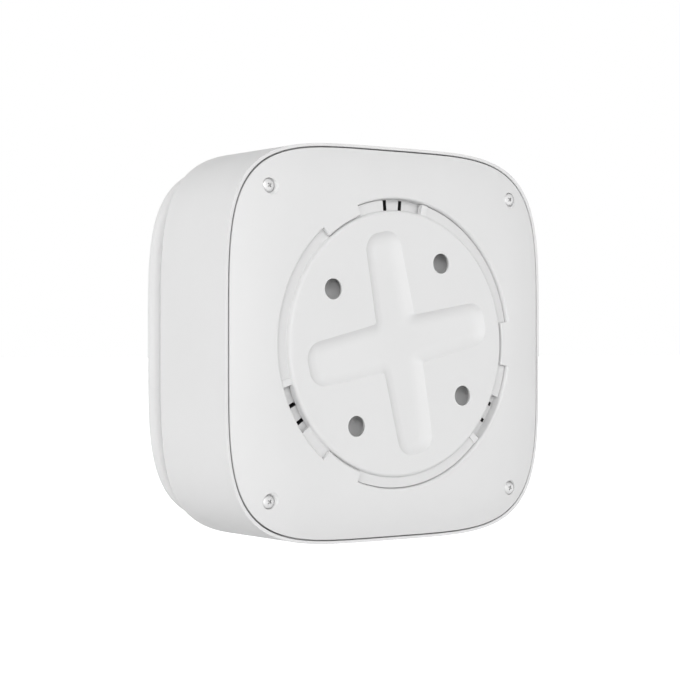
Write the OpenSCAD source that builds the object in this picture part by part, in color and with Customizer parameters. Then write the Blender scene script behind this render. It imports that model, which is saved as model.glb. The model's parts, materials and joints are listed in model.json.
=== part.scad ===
// Square smoke detector on a round twist-lock mounting plate, in millimetres.
// The wall side is -Y, the room side is +Y and up is +Z.
// The origin is the middle of the plate's wall face.

/* [Housing] */
// Width and height of the square housing
body_w = 124.4; // [120.4:0.5:128.4]
// Squareness of the outline, where 2 is a circle and larger is squarer
squareness = 4.45; // [4.3:0.05:4.6]
// Wall-side end of the housing wall
shell_back_y = 4.2; // [4:0.1:4.4]
// Room-side end of the housing wall
shell_front_y = 42.5; // [42:0.5:45]
// Thickness of the housing wall
shell_wall = 2.4; // [2.2:0.1:2.6]
// Thickness of the housing's front wall
front_wall = 2.2; // [2:0.1:2.4]
// Width of the thin rim that shows around the cover
rim_wall = 1; // [0.9:0.05:1.1]
// Depth of the step that the cover sits in
rim_depth = 2.6; // [2.5:0.1:3]

/* [Back cover] */
// Dark seam between the cover and the rim
seam_gap = 0.3; // [0.25:0.05:0.4]
// Height of the cover's face beside the round opening
crown_low_y = 0.2; // [0.15:0.05:0.3]
// Height of the cover's face at its edge
crown_edge_y = 4; // [3.8:0.1:4.2]
// Share of the half width where the cover starts to fall away
crown_start = 0.7; // [0.68:0.01:0.72]
// How late the cover falls away towards its edge
crown_power = 2.2; // [2:0.1:2.4]
// Thickness of the cover
cover_skin = 2; // [1.8:0.1:2.2]
// Distance of the cover screws in from the cover's edge
screw_in = 13.4; // [13:0.1:14]
// Radius of a cover screw's head
screw_head_r = 2; // [1.9:0.05:2.1]
// Height of a cover screw's head
screw_head_h = 1.5; // [1.3:0.1:1.6]
// Height of the cover screws' heads over the wall face
screw_head_y = 2.4; // [2.3:0.05:2.5]
// Radius of a cover screw's thread
screw_r = 1.25; // [1.2:0.05:1.3]
// Length of a cover screw's thread
screw_l = 12; // [10:1:14]

/* [Twist lock] */
// Radius of the round opening in the cover
opening_r = 46; // [45.8:0.1:46.2]
// Reach of a lug in from the opening's edge
lug_reach = 3.6; // [3.4:0.1:3.7]
// Half the angle that a lug covers
lug_half = 9.2; // [9:0.1:9.4]
// Middle of the first lug, clockwise from the top as seen from the wall
lug_at = -30; // [-31:0.5:-29]
// Thickness of a lug
lug_t = 1.35; // [1.25:0.05:1.35]
// Depth of the ledge under the plate's flange
groove_y = 3.45; // [3.45:0.05:3.6]
// Width of the ledge
groove_w = 5.8; // [5.6:0.1:6]
// Depth of the well that takes the wall screws' heads
well_y = 6.5; // [6.4:0.1:7]
// Half the angle between the two slots of a snap tongue
slot_half = 3.9; // [3.6:0.1:4.2]
// Width of a slot beside a snap tongue
slot_w = 1.3; // [1.2:0.1:1.5]

/* [Mounting plate] */
// Space between a lug and the plate's raised disc
lug_gap = 0.4; // [0.35:0.05:0.6]
// Thickness of the plate's skin
plate_skin = 2; // [1.8:0.1:2.2]
// Radius that softens the disc's edge
plate_edge = 1.2; // [1:0.05:1.2]
// Depth of the flange's wall-side face
flange_y = 1.95; // [1.95:0.05:2]
// Thickness of the flange
flange_t = 1.15; // [1.05:0.05:1.15]
// Space around the flange in the opening
flange_gap = 0.3; // [0.3:0.05:0.5]
// Middle of a cut-out that lets a lug past, at the first lug's side
pocket_at = 2.8; // [2.6:0.1:3]
// Room at each side of a lug in its cut-out, in degrees
pocket_room = 0.8; // [0.7:0.1:1]
// Angle that a stop rib covers
stop_deg = 2.6; // [2.4:0.2:3]
// Depth of a stop rib's top
stop_y = 1.25; // [1.2:0.05:1.35]
// Radius of a wall screw hole
hole_r = 3.2; // [3.1:0.05:3.3]
// Diameter of the circle of wall screw holes
hole_pcd = 61.3; // [61:0.1:61.6]
// Angle of the first wall screw hole, clockwise from the top
hole_at = 33.2; // [32.5:0.1:34]
// Turn of the cross-shaped recess, clockwise from the top
cross_at = -11.8; // [-12.4:0.2:-11.2]
// How far a recess arm stops short of the disc's edge
cross_in = 6.4; // [6:0.1:7]
// Width of a recess arm at its end
cross_end_w = 13.5; // [13.1:0.2:13.9]
// Width of a recess arm at the middle
cross_mid_w = 15.5; // [15.1:0.2:15.9]
// Depth of the recess
cross_depth = 2; // [1.8:0.1:2.1]
// Lean of the recess walls
cross_lean = 2; // [1.8:0.1:2.2]

/* [Front cap] */
// How far the cap's edge stands in from the housing's wall
cap_in = 2.4; // [2.2:0.1:2.6]
// Squareness of the cap's outline, which has rounder corners than the housing
cap_square = 4.2; // [4:0.05:4.4]
// Radius of the rounded rim
nose_r = 2.2; // [2:0.1:2.4]
// Depth of the rim's middle
nose_y = 53.7; // [53.5:0.1:53.9]
// Depth of the cap's middle, which is the detector's full depth
cap_front_y = 58.3; // [58.2:0.1:58.6]
// Thickness of the cap
cap_skin = 2.2; // [2:0.1:2.3]
// How far the ring of air inlets stands in from the cap's edge
grille_in = 2.6; // [2.5:0.1:2.8]
// Thickness of the ring of air inlets
grille_t = 1.6; // [1.5:0.1:1.7]
// Number of air inlets along each side
grille_n = 14; // [12:2:16]
// Width of an air inlet
inlet_w = 4; // [3.6:0.1:4.2]
// Height of an air inlet
inlet_h = 4.8; // [4.4:0.2:5]
// Distance of the cap screws in from the ring of air inlets
cap_screw_in = 9.2; // [8.8:0.2:9.6]
// Distance of the cap screws sideways from the middle
cap_screw_x = 26; // [25:0.5:27]

/* [Board] */
// Width of the circuit board
board_w = 84; // [82:1:86]
// Thickness of the circuit board
board_t = 1.6; // [1.5:0.1:1.7]
// Room between the board and the front wall
board_room = 2.7; // [2.6:0.1:3]
// Distance of the board screws in from the board's edges
board_screw_in = 5; // [4.5:0.25:5.5]
// Radius of the inner screws' threads
inner_screw_r = 1.2; // [1.1:0.05:1.3]
// Radius of the inner screws' heads
inner_head_r = 2.2; // [2.1:0.05:2.3]
// Height of the inner screws' heads
inner_head_h = 1.6; // [1.4:0.1:1.7]
// Wall of the bosses that take the inner screws
boss_wall = 1.8; // [1.6:0.1:2]
// Length of a cap screw's thread in its boss
cap_thread = 6; // [5:0.5:6.5]
// Distance of the soldered parts in from the board's side edges
parts_in = 12; // [11:0.5:13]
// Width of the radio's tin lid
lid_w = 16; // [15:0.5:17]
// Height of the radio's tin lid along the board
lid_h = 20; // [18:0.5:21]
// Thickness of the radio's tin lid
lid_t = 2.8; // [2.4:0.1:3]
// Width of a chip
chip_w = 8; // [7:0.5:8.5]
// Thickness of a chip
chip_t = 1.2; // [1:0.1:1.4]
// Radius of the capacitor
can_r = 3.5; // [3:0.25:4]
// Height of the capacitor over the board
can_h = 8; // [7:0.5:9]

/* [Sensing] */
// Height of the smoke chamber's middle over the detector's middle
chamber_at = 23; // [22.8:0.1:23.5]
// Radius of the smoke chamber
chamber_r = 17.2; // [17:0.1:17.4]
// Height of the smoke chamber over the board
chamber_h = 14.6; // [14.2:0.1:14.8]
// Thickness of the smoke chamber's base
base_t = 3; // [2.6:0.1:3.2]
// Height of the lip inside the insect screen
base_lip = 1; // [0.8:0.1:1.2]
// Number of baffles around the smoke chamber
baffle_n = 16; // [14:1:18]
// Radius of the light emitter and of the light receiver
eye_r = 2.5; // [2.4:0.1:2.6]
// Distance of the heat sensor and of the status light from the middle
side_at = 24; // [23.5:0.25:24.5]
// Radius of the light pipe
pipe_r = 1.5; // [1.4:0.05:1.6]
// Height of the status light over the board
led_h = 1.2; // [1:0.1:1.4]

/* [Sounder] */
// Radius of the sounder's housing
sounder_r = 16.8; // [16.5:0.1:17]
// Height of the sounder's housing over the board
sounder_h = 12.4; // [12:0.1:12.8]
// Radius of the sounder's disc
disc_r = 14.6; // [14.4:0.1:14.8]

/* [Batteries] */
// Radius of a cell
cell_r = 8.5; // [8.4:0.1:8.6]
// Length of a cell with its button
cell_l = 34.5; // [34:0.5:35]
// Thickness of the battery holder's walls
holder_wall = 1.6; // [1.5:0.1:1.8]
// Thickness of a battery contact
contact_t = 0.5; // [0.4:0.1:0.6]
// Width of a battery contact
contact_w = 9; // [8:0.5:10]

/* [Test button] */
// Radius of the test button
button_r = 13; // [12.6:0.1:13.2]
// Travel of the test button
button_travel = 1; // [0.9:0.1:1.1]
// Thickness of the button's cap
button_t = 2.6; // [2.4:0.1:2.7]
// Radius of the button's stem
stem_r = 3; // [2.9:0.1:3.1]

/* [Tamper switch] */
// How far the tamper plunger stands in from the well's wall
tamper_in = 3.9; // [3.7:0.1:4]
// Angle of the tamper plunger, clockwise from the top
tamper_deg = 60; // [58:1:62]
// Radius of the tamper plunger
tamper_r = 2; // [1.9:0.05:2.1]
// Travel of the tamper plunger
tamper_travel = 1; // [0.8:0.1:1.1]
// Radius of the tamper spring's wire
spring_wire_r = 0.3; // [0.25:0.05:0.35]
// Turns of the tamper spring
spring_turns = 5; // [4:1:6]

/* [Fits] */
// Space between pieces that move past each other
run_gap = 0.3; // [0.3:0.05:0.4]
// Space around a fixed piece in its seat
seat_gap = 0.05; // [0.03:0.01:0.08]

/* [Hidden] */
$fn = 64;
outline_n = 96;
eps = 0.02;
body_half = body_w / 2;
cover_half = body_half - rim_wall - seam_gap;
screw_at = cover_half - screw_in;
step_y = shell_back_y + rim_depth;
front_y = shell_front_y - front_wall;
board_front_y = front_y - board_room;
board_back_y = board_front_y - board_t;
plate_back_y = flange_y + flange_t;
plate_r = opening_r - lug_reach - lug_gap;
flange_r = opening_r - flange_gap;
cross_l = plate_r - cross_in;
well_r = opening_r - groove_w;
well_floor_y = well_y + cover_skin;
lug_top_y = crown_low_y + 0.1;
lug_back_y = lug_top_y + lug_t;
pocket_half = lug_half + pocket_room;
stop_at = pocket_at + pocket_half + stop_deg / 2 + 0.2;
cap_half = body_half - cap_in;
cap_back_y = nose_y - nose_r;
cap_flat = cap_half - nose_r;
grille_half = cap_half - grille_in;
cap_screw_at = grille_half - cap_screw_in;
board_screw_at = board_w / 2 - board_screw_in;
cup_floor_y = cap_front_y - cap_skin - button_travel - 0.8;
cup_t = 1.5;
stem_end_y = board_front_y + 5.4;
cell_x = cell_r + holder_wall / 2 + seat_gap;
cell_y = board_back_y - holder_wall - seat_gap - cell_r;
cell_end = cell_l / 2;
tamper_at = well_r - tamper_in;
tamper_x = tamper_at * sin(tamper_deg);
tamper_z = tamper_at * cos(tamper_deg);
tamper_tip_y = plate_back_y + run_gap;
guide_end_y = well_floor_y + 11.5;
collar_y = guide_end_y + tamper_travel + 0.6;
collar_t = 1.2;
tamper_face_y = board_back_y - 5;
bar_r = 5.2;
pad_half = 1.8;
pad_turn = 56;
plate_rim = plate_r - 2.6;

function edge_r(half, t, power) =
    half / pow(pow(abs(cos(t)), power) + pow(abs(sin(t)), power), 1 / power);

function edge(half, power) =
    [for (i = [0 : outline_n - 1])
        let (t = 360 * i / outline_n) edge_r(half, t, power) * [cos(t), sin(t)]];

function crown_y(share) =
    crown_low_y + (crown_edge_y - crown_low_y)
    * pow(max(0, (share - crown_start) / (1 - crown_start)), crown_power);

function dome_y(half) =
    cap_front_y - (cap_front_y - nose_y - nose_r) * pow(half / cap_flat, 2);

// Draws a flat shape in X and Z from y0 to y1.
module slab(y0, y1) {
    translate([0, y1, 0])
        rotate([90, 0, 0])
            linear_extrude(y1 - y0)
                children();
}

// Turns a profile of radius and depth around the detector's middle line.
module turned() {
    rotate([-90, 0, 0])
        rotate_extrude($fn = 96)
            children();
}

module rod(x, z, y0, y1, r) {
    translate([x, y1, z])
        rotate([90, 0, 0])
            cylinder(h = y1 - y0, r = r);
}

module block(x, z, y0, y1, w, h) {
    translate([x - w / 2, y0, z - h / 2])
        cube([w, y1 - y0, h]);
}

// Repeats a piece at the four corners of a rectangle.
module at_corners(dx, dz) {
    for (x = [-dx, dx])
        for (z = [-dz, dz])
            translate([x, 0, z])
                children();
}

module outline(half, power = squareness) {
    polygon(edge(half, power));
}

// A wedge around the middle, clockwise from the top as seen from the wall.
module wedge(at, half_deg, reach) {
    spread = reach / cos(half_deg);
    polygon([
        [0, 0],
        spread * [sin(at - half_deg), cos(at - half_deg)],
        spread * [sin(at + half_deg), cos(at + half_deg)]
    ]);
}

// A piece of a ring between two radii, for the lugs, cut-outs and stops.
module ring_piece(at, half_deg, r0, r1, y0, y1) {
    intersection() {
        difference() {
            rod(0, 0, y0, y1, r1, $fn = 128);
            rod(0, 0, y0 - 1, y1 + 1, r0, $fn = 128);
        }
        slab(y0 - 1, y1 + 1)
            wedge(at, half_deg, r1 + 2);
    }
}

// A solid whose outlines, given as half width and depth from the room side, follow the housing's shape.
module stacked(rings, power = squareness) {
    n = outline_n;
    last = len(rings) - 1;
    points = [for (g = rings) for (p = edge(g[0], power)) [p[0], g[1], p[1]]];
    sides = [
        for (k = [0 : last - 1])
            for (i = [0 : n - 1])
                let (a = k * n + i, b = k * n + (i + 1) % n)
                    each [[a, a + n, b], [b, a + n, b + n]]
    ];
    ends = [[for (i = [0 : n - 1]) i], [for (i = [n - 1 : -1 : 0]) last * n + i]];
    polyhedron(points = points, faces = concat(sides, ends), convexity = 6);
}

// The cover's crowned shape, shrunk by inset and moved in by drop, down to the depth end_y.
module crowned(inset, drop, end_y) {
    half = cover_half - inset;
    shares = [for (k = [5 : -1 : 0]) crown_start + (1 - crown_start) * k / 5];
    stacked(concat([[half, end_y]], [for (s = shares) [half * s, crown_y(s) + drop]]));
}

module arm(inset) {
    w = cross_end_w / 2 - bar_r;
    for (x = [-w, w])
        for (z = [-1, 1])
            translate([x, z * (cross_l - bar_r)])
                circle(bar_r - inset, $fn = 48);
    square([cross_mid_w - 2 * inset, 1], center = true);
}

module cross_recess() {
    for (t = [0, 90])
        rotate([0, cross_at + t, 0])
            hull() {
                slab(-eps, 0)
                    arm(0);
                slab(cross_depth - eps, cross_depth)
                    arm(cross_lean);
            }
}

// The ribs on the plate's hidden side: behind the recess, around the holes and over the plunger.
module plate_ribs() {
    slab(plate_skin - eps, plate_back_y) {
        for (t = [0, 90])
            rotate(-cross_at - t)
                square([cross_mid_w + plate_skin, 2 * cross_l + plate_skin], center = true);
        for (k = [0 : 3])
            rotate(-hole_at - 90 * k)
                translate([0, hole_pcd / 2])
                    circle(hole_r + 2.4);
        rotate(-pad_turn)
            difference() {
                circle(tamper_at + pad_half);
                circle(tamper_at - pad_half);
            }
    }
}

module plate_holes() {
    for (k = [0 : 3])
        rotate([0, hole_at + 90 * k, 0])
            rod(0, hole_pcd / 2, -1, plate_back_y + 1, hole_r);
}

module plate_disc() {
    turned()
        polygon([
            [0, 0], [plate_r - plate_edge, 0],
            [plate_r - plate_edge * 0.5, plate_edge * 0.134],
            [plate_r - plate_edge * 0.134, plate_edge * 0.5],
            [plate_r, plate_edge], [plate_r, flange_y], [flange_r, flange_y],
            [flange_r, plate_back_y], [plate_rim, plate_back_y], [plate_rim, plate_skin],
            [0, plate_skin]
        ]);
}

module mounting_plate() {
    color("#e6e6e6")
        difference() {
            union() {
                plate_disc();
                plate_ribs();
                for (t = [0 : 120 : 240])
                    ring_piece(stop_at + t, stop_deg / 2, plate_r - 1, flange_r - 0.1,
                        stop_y, flange_y + 0.5);
            }
            cross_recess();
            plate_holes();
            for (t = [0 : 120 : 240])
                ring_piece(pocket_at + t, pocket_half, plate_r - 0.2, flange_r + 1,
                    flange_y - eps, plate_back_y + 1);
        }
}

// The round tub behind the opening: a ledge under the flange and a deeper well.
module cover_tub() {
    turned()
        polygon([
            [opening_r, crown_low_y + cover_skin / 2], [opening_r, groove_y], [well_r, groove_y],
            [well_r, well_y], [0, well_y], [0, well_floor_y], [well_r + cover_skin, well_floor_y],
            [well_r + cover_skin, groove_y + cover_skin],
            [opening_r + cover_skin, groove_y + cover_skin],
            [opening_r + cover_skin, crown_low_y + cover_skin / 2]
        ]);
}

module tongue_slots() {
    for (t = [0 : 120 : 240])
        for (side = [-slot_half, slot_half])
            rotate([0, t + side, 0])
                translate([-slot_w / 2, groove_y - 1, well_r - 0.7])
                    cube([slot_w, cover_skin + 1.9, opening_r - well_r + 0.4]);
}

module back_cover() {
    head_seat_y = screw_head_y + screw_head_h;
    color("#e9e9e9")
        difference() {
            union() {
                difference() {
                    crowned(0, 0, step_y);
                    crowned(2.2, cover_skin, step_y + 1);
                    rod(0, 0, -1, step_y, opening_r);
                }
                cover_tub();
                at_corners(screw_at, screw_at)
                    rod(0, 0, head_seat_y, step_y, screw_head_r + 2.2);
                for (t = [0 : 120 : 240])
                    ring_piece(lug_at + t, lug_half, opening_r - lug_reach, opening_r + 0.8,
                        lug_top_y, lug_back_y);
                rod(tamper_x, tamper_z, well_floor_y - eps, guide_end_y, tamper_r + run_gap + 1.6);
            }
            at_corners(screw_at, screw_at) {
                rod(0, 0, -1, head_seat_y, screw_head_r + run_gap);
                rod(0, 0, -1, step_y + 1, screw_r + run_gap);
            }
            rod(tamper_x, tamper_z, well_y - 1, guide_end_y + 1, tamper_r + run_gap);
            tongue_slots();
        }
}

// A pan head screw that points into the room, with a cross recess in its head.
module pan_screw(head_r, head_h, r, l) {
    difference() {
        union() {
            turned()
                polygon([
                    [0, 0], [head_r * 0.55, 0], [head_r * 0.85, head_h * 0.18],
                    [head_r, head_h * 0.5], [head_r, head_h], [0, head_h]
                ]);
            rod(0, 0, head_h - eps, head_h + l, r);
        }
        for (t = [45, 135])
            rotate([0, t, 0])
                block(0, 0, -1, head_h * 0.6, head_r * 0.3, head_r * 1.2);
    }
}

module cover_screws() {
    color("#9a9a9a")
        at_corners(screw_at, screw_at)
            translate([0, screw_head_y, 0])
                pan_screw(screw_head_r, screw_head_h, screw_r, screw_l);
}

// The opening in the front wall for the smoke chamber, the button's switch and the sounder.
module front_window() {
    r = chamber_r + 1;
    for (z = [-chamber_at, chamber_at])
        translate([0, z])
            circle(r);
    square([2 * r, 2 * chamber_at], center = true);
}

module outer_shell() {
    color("#e9e9e9")
        difference() {
            union() {
                difference() {
                    slab(shell_back_y, shell_front_y)
                        outline(body_half);
                    slab(shell_back_y - 1, step_y)
                        outline(body_half - rim_wall);
                    slab(step_y - 1, front_y)
                        outline(body_half - shell_wall);
                }
                at_corners(screw_at, screw_at)
                    rod(0, 0, step_y, front_y + eps, screw_r + 2.6);
                at_corners(board_screw_at, board_screw_at)
                    rod(0, 0, board_front_y, front_y + eps, inner_screw_r + boss_wall);
            }
            slab(front_y - 1, shell_front_y + 1)
                front_window();
            for (x = [-side_at, side_at])
                rod(x, 0, front_y - 1, shell_front_y + 1, 2.6);
            at_corners(screw_at, screw_at)
                rod(0, 0, step_y - 1, screw_head_y + screw_head_h + screw_l + 1, screw_r + seat_gap);
            at_corners(board_screw_at, board_screw_at)
                rod(0, 0, board_front_y - 1, shell_front_y - 0.8, inner_screw_r + seat_gap);
            at_corners(cap_screw_x, cap_screw_at)
                rod(0, 0, front_y - 1, shell_front_y + 1, inner_screw_r + run_gap);
        }
}

// The cap's skin: a slightly domed front, a rounded rim and a hollow behind it.
module cap_skin_body() {
    dome = [for (k = [1 : 4]) [cap_flat * k / 4, dome_y(cap_flat * k / 4)]];
    nose = [for (t = [67.5 : -22.5 : -90]) [cap_flat + nose_r * cos(t), nose_y + nose_r * sin(t)]];
    inner = grille_half - grille_t - 0.2;
    difference() {
        stacked(concat(dome, nose, [[inner - 2, cap_back_y]]), cap_square);
        stacked([
            [inner * 0.5, dome_y(inner * 0.5) - cap_skin], [inner * 0.9, dome_y(inner) - cap_skin],
            [inner, dome_y(inner) - cap_skin - 1.2], [inner, cap_back_y - 1]
        ], cap_square);
    }
}

// The cup in the cap's middle that holds the test button.
module button_cup() {
    r = button_r + run_gap;
    turned()
        polygon([
            [stem_r + run_gap, cup_floor_y - cup_t], [r + cup_t, cup_floor_y - cup_t],
            [r + cup_t, cap_front_y - cap_skin / 2], [r, cap_front_y - cap_skin / 2],
            [r, cup_floor_y], [stem_r + run_gap, cup_floor_y]
        ]);
}

module front_cap() {
    color("#ececec")
        difference() {
            union() {
                difference() {
                    cap_skin_body();
                    rod(0, 0, cup_floor_y, cap_front_y + 1, button_r + run_gap);
                }
                button_cup();
                at_corners(cap_screw_x, cap_screw_at)
                    rod(0, 0, shell_front_y, cap_front_y - cap_skin, inner_screw_r + boss_wall);
            }
            at_corners(cap_screw_x, cap_screw_at)
                rod(0, 0, shell_front_y - 1, shell_front_y + cap_thread + 1,
                    inner_screw_r + seat_gap);
            rod(side_at, 0, cap_back_y, cap_front_y + 1, pipe_r + seat_gap);
        }
}

module inlet_grille() {
    pitch = 1.5 * grille_half / grille_n;
    color("#c9c9c9")
        difference() {
            slab(shell_front_y, cap_back_y)
                difference() {
                    outline(grille_half, cap_square);
                    outline(grille_half - grille_t, cap_square);
                }
            for (t = [0 : 90 : 270])
                rotate([0, t, 0])
                    for (k = [0 : grille_n - 1])
                        translate([(k - (grille_n - 1) / 2) * pitch, 0, grille_half - grille_t / 2])
                            block(0, 0, shell_front_y + 1.2, shell_front_y + 1.2 + inlet_h, inlet_w, 12);
        }
}

module cap_screws() {
    color("#9a9a9a")
        at_corners(cap_screw_x, cap_screw_at)
            translate([0, front_y - inner_head_h, 0])
                pan_screw(inner_head_r, inner_head_h, inner_screw_r, front_wall + cap_thread);
}

module main_board() {
    w = board_w / 2;
    color("#2f6b46")
        difference() {
            slab(board_back_y, board_front_y)
                union() {
                    square([board_w, board_w - 12], center = true);
                    square([board_w - 12, board_w], center = true);
                    for (x = [6 - w, w - 6])
                        for (z = [6 - w, w - 6])
                            translate([x, z])
                                circle(6);
                }
            at_corners(board_screw_at, board_screw_at)
                rod(0, 0, board_back_y - 1, board_front_y + 1, inner_screw_r + run_gap);
        }
}

module board_screws() {
    color("#9a9a9a")
        at_corners(board_screw_at, board_screw_at)
            translate([0, board_back_y - inner_head_h, 0])
                pan_screw(inner_head_r, inner_head_h, inner_screw_r, board_t + board_room + 0.8);
}

// Chips, the radio's tin lid and a capacitor, all soldered to the board.
module board_parts() {
    x = board_w / 2 - parts_in;
    color("#3c3c40") {
        block(-x, lid_h, board_back_y - lid_t, board_back_y, lid_w, lid_h);
        block(-x, -1.75 * chip_w, board_back_y - chip_t, board_back_y, chip_w, chip_w);
        block(x, -3 * chip_w, board_back_y - chip_t, board_back_y, chip_w * 0.8, chip_w * 0.6);
        block(-x, -1.5 * chip_w, board_front_y, board_front_y + chip_t, chip_w, chip_w);
        rod(-x, -x, board_back_y - can_h, board_back_y, can_r);
    }
}

module smoke_chamber_base() {
    color("#26272a")
        translate([0, 0, chamber_at])
            union() {
                rod(0, 0, board_front_y, board_front_y + base_t, chamber_r);
                rod(0, 0, board_front_y + base_t - eps, board_front_y + base_t + base_lip,
                    chamber_r - 1.2);
            }
}

module smoke_chamber_lid() {
    top_y = board_front_y + chamber_h;
    color("#26272a")
        translate([0, 0, chamber_at])
            union() {
                rod(0, 0, top_y - 1.4, top_y, chamber_r);
                for (k = [0 : baffle_n - 1])
                    rotate([0, 360 * k / baffle_n, 0])
                        translate([chamber_r - 3.6, 0, 0])
                            rotate([0, 40, 0])
                                block(0, 0, board_front_y + base_t + base_lip, top_y - 1.4 + eps,
                                    3.2, 0.8);
            }
}

module insect_screen() {
    color("#8a8d90")
        translate([0, 0, chamber_at])
            difference() {
                rod(0, 0, board_front_y + base_t, board_front_y + chamber_h - 1.4, chamber_r - 0.2);
                rod(0, 0, board_front_y, board_front_y + chamber_h, chamber_r - 0.8);
                for (k = [0 : 17])
                    rotate([0, 10 * k, 0])
                        block(0, 0, board_front_y + base_t + 1.2, board_front_y + chamber_h - 2.4,
                            1.4, 3 * chamber_r);
            }
}

// A lens-ended light part that lies on the chamber's floor and looks at its middle.
module eye(turn) {
    floor_y = board_front_y + base_t + base_lip;
    translate([0, 0, chamber_at])
        rotate([0, turn, 0])
            translate([7.7 - chamber_r, floor_y + eye_r + 0.4, 0])
                rotate([0, 90, 0])
                    union() {
                        cylinder(h = 5, r = eye_r);
                        translate([0, 0, 5])
                            sphere(eye_r - 0.2);
                        translate([-eye_r, -eye_r - 0.4, 0])
                            cube([2 * eye_r, eye_r, 3]);
                    }
}

module light_emitter() {
    color("#3a3f6a")
        eye(30);
}

module light_receiver() {
    color("#1e1e22")
        eye(150);
}

// A bead on its stiff leads, held up through the front wall into the air gap.
module heat_sensor() {
    color("#4a3a30")
        translate([-side_at, 0, 0])
            union() {
                rod(0, 0, board_front_y, board_front_y + 1.5, 2);
                rod(0, 0, board_front_y + 1, board_front_y + 9, 0.8);
                translate([0, board_front_y + 9.4, 0])
                    sphere(1.4);
            }
}

module sounder_horn() {
    color("#d8d8d8")
        translate([0, 0, -chamber_at])
            turned()
                polygon([
                    [disc_r + seat_gap, board_front_y], [sounder_r, board_front_y],
                    [sounder_r, board_front_y + sounder_h], [4, board_front_y + sounder_h],
                    [4, board_front_y + sounder_h - 1.4],
                    [sounder_r - 3.4, board_front_y + sounder_h - 1.4],
                    [sounder_r - 3.4, board_front_y + 4], [disc_r + seat_gap, board_front_y + 4]
                ]);
}

// A brass disc with its thin ceramic plate, against the horn's inner step.
module sounder_disc() {
    color("#b8964c")
        translate([0, 0, -chamber_at])
            union() {
                rod(0, 0, board_front_y + 3.5, board_front_y + 4, disc_r);
                rod(0, 0, board_front_y + 3.2, board_front_y + 3.5 + eps, disc_r * 0.7);
            }
}

module battery_holder() {
    w = 2 * (2 * cell_x) - 2 * cell_x + 2 * (cell_r + seat_gap + holder_wall);
    h = cell_l + 2 * (contact_t + holder_wall);
    color("#2b2c30")
        difference() {
            block(0, 0, cell_y - 2, board_back_y, w, h);
            for (x = [-cell_x, cell_x]) {
                translate([x, cell_y, -cell_end - contact_t])
                    cylinder(h = cell_l + 2 * contact_t, r = cell_r + seat_gap);
                block(x, 0, cell_y - 3, cell_y, 2 * (cell_r + seat_gap), cell_l + 2 * contact_t);
            }
        }
}

// Two cells that lie along Z, the second upside down beside the first.
module battery_cells() {
    color("#5b6f8c")
        for (side = [-1, 1])
            translate([side * cell_x, cell_y, 0])
                rotate([side > 0 ? 0 : 180, 0, 0])
                    translate([0, 0, -cell_end])
                        union() {
                            cylinder(h = cell_l - 1, r = cell_r);
                            cylinder(h = cell_l, r = 3.2);
                        }
}

module battery_contacts() {
    color("#c4b37a")
        for (x = [-cell_x, cell_x])
            for (z = [-1, 1])
                translate([x, cell_y, z * (cell_end + contact_t / 2)])
                    cube([contact_w, contact_w, contact_t], center = true);
}

module status_led() {
    color("#f2f2ea")
        block(side_at, 0, board_front_y, board_front_y + led_h, 3, 2.4);
}

// A clear rod that carries the status light to the cap's face.
module light_pipe() {
    color("#eef3f4")
        rod(side_at, 0, board_front_y + led_h, dome_y(side_at), pipe_r);
}

module test_button() {
    clip_y = cup_floor_y - cup_t;
    groove = stem_r - 0.6;
    color("#f0f0f0")
        turned()
            polygon([
                [0, stem_end_y], [stem_r, stem_end_y], [stem_r, clip_y - 1], [groove, clip_y - 1],
                [groove, clip_y], [stem_r, clip_y], [stem_r, cap_front_y - button_t],
                [button_r, cap_front_y - button_t], [button_r, cap_front_y - 0.5],
                [button_r - 0.5, cap_front_y - 0.1], [0, cap_front_y]
            ]);
}

// A snap ring in the stem's groove that keeps the button in its cup.
module button_clip() {
    clip_y = cup_floor_y - cup_t;
    color("#9a9a9a")
        difference() {
            rod(0, 0, clip_y - 0.9, clip_y - 0.1, stem_r + 1.4);
            rod(0, 0, clip_y - 2, clip_y + 1, stem_r - 0.6 + seat_gap);
        }
}

module button_switch() {
    color("#33343a")
        difference() {
            block(0, 0, board_front_y, board_front_y + 3.6, 6, 6);
            rod(0, 0, board_front_y + 0.6, board_front_y + 5, 1.6 + run_gap);
        }
}

module switch_plunger() {
    color("#d9d4c8")
        rod(0, 0, board_front_y + 0.8 + button_travel, stem_end_y, 1.6);
}

module tamper_plunger() {
    color("#dcdcdc")
        translate([tamper_x, 0, tamper_z])
            union() {
                rod(0, 0, tamper_tip_y, tamper_face_y + 1.4, tamper_r);
                rod(0, 0, collar_y, collar_y + collar_t, tamper_r + 1.5);
            }
}

// A coil between the plunger's collar and the switch, drawn as a swept round wire.
module tamper_spring() {
    sides = 6;
    per_turn = 16;
    steps = per_turn * spring_turns;
    coil_r = tamper_r + run_gap + spring_wire_r + 0.2;
    y0 = collar_y + collar_t + spring_wire_r;
    y1 = tamper_face_y - spring_wire_r;
    points = [
        for (k = [0 : steps])
            for (j = [0 : sides - 1])
                let (t = 360 * k / per_turn, w = 360 * j / sides, r = coil_r + spring_wire_r * cos(w))
                    [r * cos(t), y0 + (y1 - y0) * k / steps + spring_wire_r * sin(w), r * sin(t)]
    ];
    walls = [
        for (k = [0 : steps - 1])
            for (j = [0 : sides - 1])
                let (a = k * sides + j, b = k * sides + (j + 1) % sides)
                    each [[a, b, a + sides], [b, b + sides, a + sides]]
    ];
    ends = [[for (j = [sides - 1 : -1 : 0]) j], [for (j = [0 : sides - 1]) steps * sides + j]];
    color("#a8a8a8")
        translate([tamper_x, 0, tamper_z])
            polyhedron(points = points, faces = concat(walls, ends), convexity = 8);
}

module tamper_switch() {
    color("#33343a")
        difference() {
            block(tamper_x, tamper_z, tamper_face_y, board_back_y, 8, 8);
            rod(tamper_x, tamper_z, tamper_face_y - 1, tamper_face_y + 1.8 + tamper_travel,
                tamper_r + run_gap);
        }
}

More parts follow.
